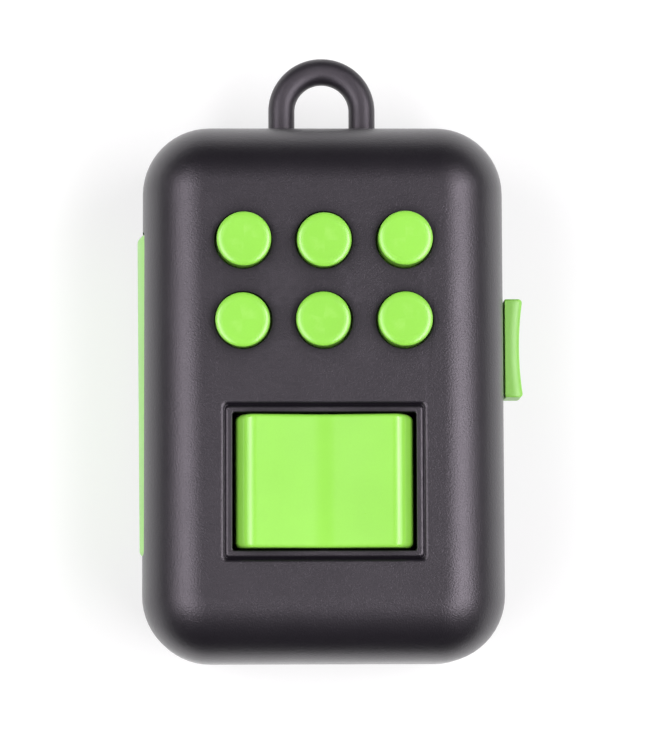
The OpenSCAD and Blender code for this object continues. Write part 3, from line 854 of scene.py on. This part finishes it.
def build_rocker():
    """Two finger slopes that meet in a valley, with soft ridges and ends rounded about the pivot."""
    low, high = box_mm("rocker")
    joints = {joint["name"]: joint for joint in frame["record"]["behaviour"]["joints"]}
    pivot_z = joints["rocker_tilt"]["pos_m"][2] / MM
    end_r = high.x
    half_l = (high.y - low.y) / 2
    ridge_x, ridge_r, valley_r = 8.77, 1.8, 12.0
    ridge_z = high.z + 0.053 * ridge_r  # so far over the box that the rounded ridge comes up to it
    valley_z = high.z - 0.9
    shoulder_z, shoulder_r = TOP_Z - 0.1, 0.9
    shoulder_x = math.sqrt(end_r**2 - (shoulder_z - pivot_z) ** 2)
    bottom, bottom_r = low.z, 0.45
    first = math.degrees(math.atan2(bottom - pivot_z, math.sqrt(end_r**2 - (bottom - pivot_z) ** 2)))
    last = math.degrees(math.atan2(shoulder_z - pivot_z, shoulder_x))
    end = [(end_r * math.cos(a), pivot_z + end_r * math.sin(a)) for a in arc(first, last, 7)]
    half = [(*end[0], bottom_r)] + [(x, z, 0) for x, z in end[1:-1]]
    half += [(shoulder_x, shoulder_z, shoulder_r), (ridge_x, ridge_z, ridge_r)]
    corners = half + [(0, valley_z, valley_r)] + [(-x, z, r) for x, z, r in reversed(half)]
    outline = soften(corners, 9)

    def drawn_back(radius, depth):
        """How far in a rounded edge lies, at this depth behind the flat that it rounds off to."""
        short = min(radius, max(0.0, radius - depth))
        return radius - math.sqrt(radius**2 - short**2)

    long_edge_r, end_edge_r = 0.42, 0.75
    levels = [half_l - end_edge_r * (1 - math.sin(a)) for a in arc(0, 90, 12)]
    rings = []
    for y in [-y for y in reversed(levels)] + levels:
        long_in = drawn_back(long_edge_r, half_l - abs(y))
        end_in = drawn_back(end_edge_r, half_l - abs(y))
        ring = []
        for p, n in outline:
            across = long_in * (1 - abs(n.x)) + end_in * abs(n.x)
            ring.append(Vector((p.x - n.x * across, ROCKER_Y + y, p.y - n.y * long_in)))
        rings.append(ring)
    bm = bmesh.new()
    skin(bm, rings)
    paddle = mesh_object("paddle", bm)

    holes = bmesh.new()
    end_wall, rib_x, pocket_x, pocket_top, bevel, past = 1.3, 1.9, 8.4, 21.4, 0.2, 1.0
    pocket_half_w, pocket_half_l = (pocket_x - rib_x) / 2, half_l - end_wall
    for side in (-1, 1):
        place = (side * (rib_x + pocket_x) / 2, ROCKER_Y)
        skin(holes, [
            plan_ring(pocket_half_w - inset, pocket_half_l - inset, 0.5, z, place, 4)
            for z, inset in ((bottom - past, 0), (pocket_top - bevel, 0), (pocket_top, bevel))
        ])
    bore = circle_ring((0, pivot_z), AXLE_BORE_R, 0, 40)
    reach = half_l + past
    skin(holes, [[Vector((p.x, ROCKER_Y + side * reach, p.y)) for p in bore] for side in (-1, 1)])
    combine(paddle, holes, "DIFFERENCE")
    return finish_piece(paddle, lime, "rocker_body", ["rocker"])


# ---------------------------------------------------------------- thumb slider


def build_knob():
    """The thumb knob: hollow outer face, deep rounding along its outer edges, and its neck."""
    low, high = box_mm("slider_knob")
    centre = (low + high) / 2
    stand_off = 0.36  # gap between the case and the knob
    inner_x = HALF_W + stand_off
    outer_x = high.x
    half_y, half_z = (high.y - low.y) / 2, (high.z - low.z) / 2
    hollow = 0.45
    bow_r = (half_y**2 + hollow**2) / (2 * hollow)
    outer_corner_r, inner_corner_r = 0.45, 0.2
    # The rounding of each side's upper and lower edges: how far in it reaches, and how far down
    soft = {"outer": (1.3, 0.5), "end": (0.35, 0.35), "inner": (0.1, 0.1)}

    def ring(share, sign):
        """A level ring. share is 0 where the rounding starts on the sides and 1 at the flat top or bottom."""
        a = share * math.pi / 2
        drop = {k: reach * (1 - math.cos(a)) for k, (reach, down) in soft.items()}
        height = {k: half_z - down * (1 - math.sin(a)) for k, (reach, down) in soft.items()}
        x0, x1 = inner_x + drop["inner"], outer_x - drop["outer"]
        y1 = half_y - drop["end"]

        def place(x, y, up):
            """A point at (x, y), so far over or under the knob's middle."""
            return Vector((x, centre.y + y, centre.z + sign * up))

        def corner(end, side, steps):
            """From the middle of one end (-1 or 1) round to the outer or the inner side."""
            made = []
            for t in arc(0, 90, steps):
                if side == "outer":
                    radius = outer_corner_r
                    x = x1 - radius + radius * math.sin(t)
                else:
                    radius = inner_corner_r
                    x = x0 + radius - radius * math.sin(t)
                turned = t / (math.pi / 2)
                up = height["end"] * (1 - turned) + height[side] * turned
                made.append(place(x, end * (y1 - radius + radius * math.cos(t)), up))
            return made

        reach = y1 - outer_corner_r
        steps = 24
        face = []
        for k in range(1, steps):
            y = -reach + 2 * reach * k / steps
            bow = math.sqrt(bow_r**2 - y**2) - math.sqrt(bow_r**2 - reach**2)
            face.append(place(x1 - bow, y, height["outer"]))
        near = corner(-1, "inner", 3)[::-1] + corner(-1, "outer", 6)
        far = corner(1, "outer", 6)[::-1] + corner(1, "inner", 3)
        return near + face + far

    shares = [k / 9 for k in range(10)]
    rings = [ring(share, -1) for share in reversed(shares)] + [ring(share, 1) for share in shares]
    bm = bmesh.new()
    skin(bm, rings)
    knob = mesh_object("thumb_knob", bm)
    neck = bmesh.new()
    neck_half_l, neck_half_h, sunk = 5.3, 1.2, 0.8
    neck_low = (low.x, centre.y - neck_half_l, centre.z - neck_half_h)
    neck_high = (inner_x + sunk, centre.y + neck_half_l, centre.z + neck_half_h)
    block(neck, neck_low, neck_high, 0.1)
    combine(knob, neck, "UNION")
    bore = bmesh.new()
    hole = circle_ring((centre.y, centre.z), SMALL_PILOT_R, 0, 32)
    past, bore_l = 1.0, 4.0
    skin(bore, [[Vector((x, p.x, p.y)) for p in hole] for x in (low.x - past, low.x + bore_l)])
    combine(knob, bore, "DIFFERENCE")
    return finish_piece(knob, lime_satin, "slider_body", ["slider_knob"])


build_front()
build_back()
build_loop()
build_pad()
build_case_screws()
for row in ROWS:
    for column in COLUMNS:
        place = f"{row}_{column}"
        build_button(row, column)
        build_coil(f"coil_{place}", f"button_spring_{place}", wire_r=0.2, turns=4)
for side in ("left", "right"):
    coil, spring = f"rocker_coil_{side}", f"rocker_spring_{side}"
    build_coil(coil, spring, wire_r=0.25, turns=6)
build_rocker()
build_knob()

finishes = {
    "button_plate": (inner_black, "inner_plastic"),
    "rocker_cradle": (inner_black, "inner_plastic"),
    "slider_carriage": (inner_black, "inner_plastic"),
    "plate_screws": (zinc, "screw_steel"),
    "cradle_screws": (zinc, "screw_steel"),
    "slider_screw": (zinc, "screw_steel"),
    "rocker_axle": (ground_pin, "pin_steel"),
    "slider_leaf_spring": (brass, "leaf_brass"),
}
for node, (material, slot_name) in finishes.items():
    kept = frame["nodes"][node]
    kept.data.materials.clear()
    kept.data.materials.append(material)


# ---------------------------------------------------------------- stage, light and camera


LAMP_TINT = (1.0, 0.935, 1.0)  # slightly purple, as the black plastic looks in the photo


def matte(name, patches_per_metre, dark, light):
    """A dull material in slowly changing tones."""
    s = Shader(name)
    tone = s.blend(s.spread(s.noise(patches_per_metre, 2.0), 0.0, 1.0), rgba(dark), rgba(light))
    s.link(tone, s.surface.inputs["Base Color"])
    s.surface.inputs["Roughness"].default_value = 0.9
    return s


def flat_face(name, corners, material):
    """An object of one flat face with its corners in millimetres."""
    bm = bmesh.new()
    bm.faces.new([bm.verts.new(corner) for corner in corners])
    made = mesh_object(name, bm)
    made.data.transform(Matrix.Scale(MM, 4))
    made.data.materials.append(material)
    return made


def pale_floor():
    """A wide floor that glows a little to come out nearly white. Its green makes up for LAMP_TINT."""
    s = matte("pale_floor", 6, (0.44, 0.463, 0.442), (0.46, 0.483, 0.46))
    s.surface.inputs["Specular IOR Level"].default_value = 0.1
    s.surface.inputs["Emission Color"].default_value = (1.0, 1.0, 1.0, 1.0)
    s.surface.inputs["Emission Strength"].default_value = 0.585
    reach, z = 3000, -0.02
    corners = [(sx * reach, sy * reach, z) for sx, sy in ((-1, -1), (1, -1), (1, 1), (-1, 1))]
    floor = flat_face("floor", corners, s.material)


def softbox(name, direction, distance, length, width, power):
    """An area light aimed at the object, with its size in metres and its length along the object's length."""
    light = bpy.data.lights.new(name, "AREA")
    light.shape = "RECTANGLE"
    light.size, light.size_y = length, width
    light.energy = power
    light.color = LAMP_TINT
    lamp = bpy.data.objects.new(name, light)
    towards = Vector(direction).normalized()
    lamp.location = towards * distance + Vector((0, 0, SPLIT_Z * MM))
    lamp.rotation_mode = "QUATERNION"
    lamp.rotation_quaternion = towards.to_track_quat("Z", "Y")
    bpy.context.scene.collection.objects.link(lamp)


def leaning(deg):
    """The direction that leans this far to the right of straight up, and a little to the front."""
    a = math.radians(deg)
    return (math.sin(a), -0.10, math.cos(a))


pale_floor()
# Name, direction, distance, length and width in metres, and power in watts
softbox("softbox_left", leaning(-39), 1.1, 1.22, 0.78, 6.4)
softbox("softbox_right", leaning(39), 1.1, 1.22, 0.78, 7.9)
softbox("wing_left", (-0.26, 0.05, 0.97), 1.1, 0.8, 0.26, 0.6)
softbox("wing_right", (0.26, 0.05, 0.97), 1.1, 0.8, 0.26, 0.4)
softbox("core_left", leaning(-33), 1.05, 1.15, 0.27, 3.0)
softbox("core_right", leaning(33), 1.05, 1.15, 0.27, 4.1)

world = bpy.data.worlds.new("studio")
bpy.context.scene.world = world
world.use_nodes = True
background = world.node_tree.nodes["Background"]
background.inputs["Color"].default_value = (1.0, 1.0, 1.0, 1.0)
background.inputs["Strength"].default_value = 0.03


def black_card():
    """A small dark card in front of the object that only reflections see, as photographers use."""
    s = matte("card_black", 20, (0.01, 0.01, 0.01), (0.014, 0.014, 0.014))
    y, half_w, tall = -HALF_L - 40, 90, 110
    corners = [(-half_w, y, 0), (half_w, y, 0), (half_w, y, tall), (-half_w, y, tall)]
    card = flat_face("card", corners, s.material)
    card.visible_camera = False
    card.visible_diffuse = False
    card.visible_shadow = False


black_card()


def aim_camera():
    """Looks nearly straight down on the button face, from a little to the front and left of the middle."""
    distance = 0.400  # metres; this and the numbers below were fitted to the photo
    tilt, pan, roll = math.radians(5.55), math.radians(1.17), math.radians(-0.183)
    target = Vector((0, 0, SPLIT_Z * MM))
    away = Vector((-math.sin(pan) * math.cos(tilt), -math.sin(tilt), math.cos(pan) * math.cos(tilt)))
    right = Vector((0, 1, 0)).cross(away).normalized()
    up = away.cross(right)
    turned_right = right * math.cos(roll) + up * math.sin(roll)
    turned_up = -right * math.sin(roll) + up * math.cos(roll)
    data = bpy.data.cameras.new("camera")
    data.sensor_width = 36.0
    data.lens = 163.2528
    data.shift_x = 0.0036
    data.shift_y = 0.0302667
    data.clip_start, data.clip_end = 0.01, 20.0
    camera = bpy.data.objects.new("camera", data)
    camera.location = target + away * distance
    camera.rotation_mode = "QUATERNION"
    camera.rotation_quaternion = Matrix((turned_right, turned_up, away)).transposed().to_quaternion()
    bpy.context.scene.collection.objects.link(camera)
    bpy.context.scene.camera = camera


aim_camera()
bpy.context.scene.view_settings.view_transform = "Standard"
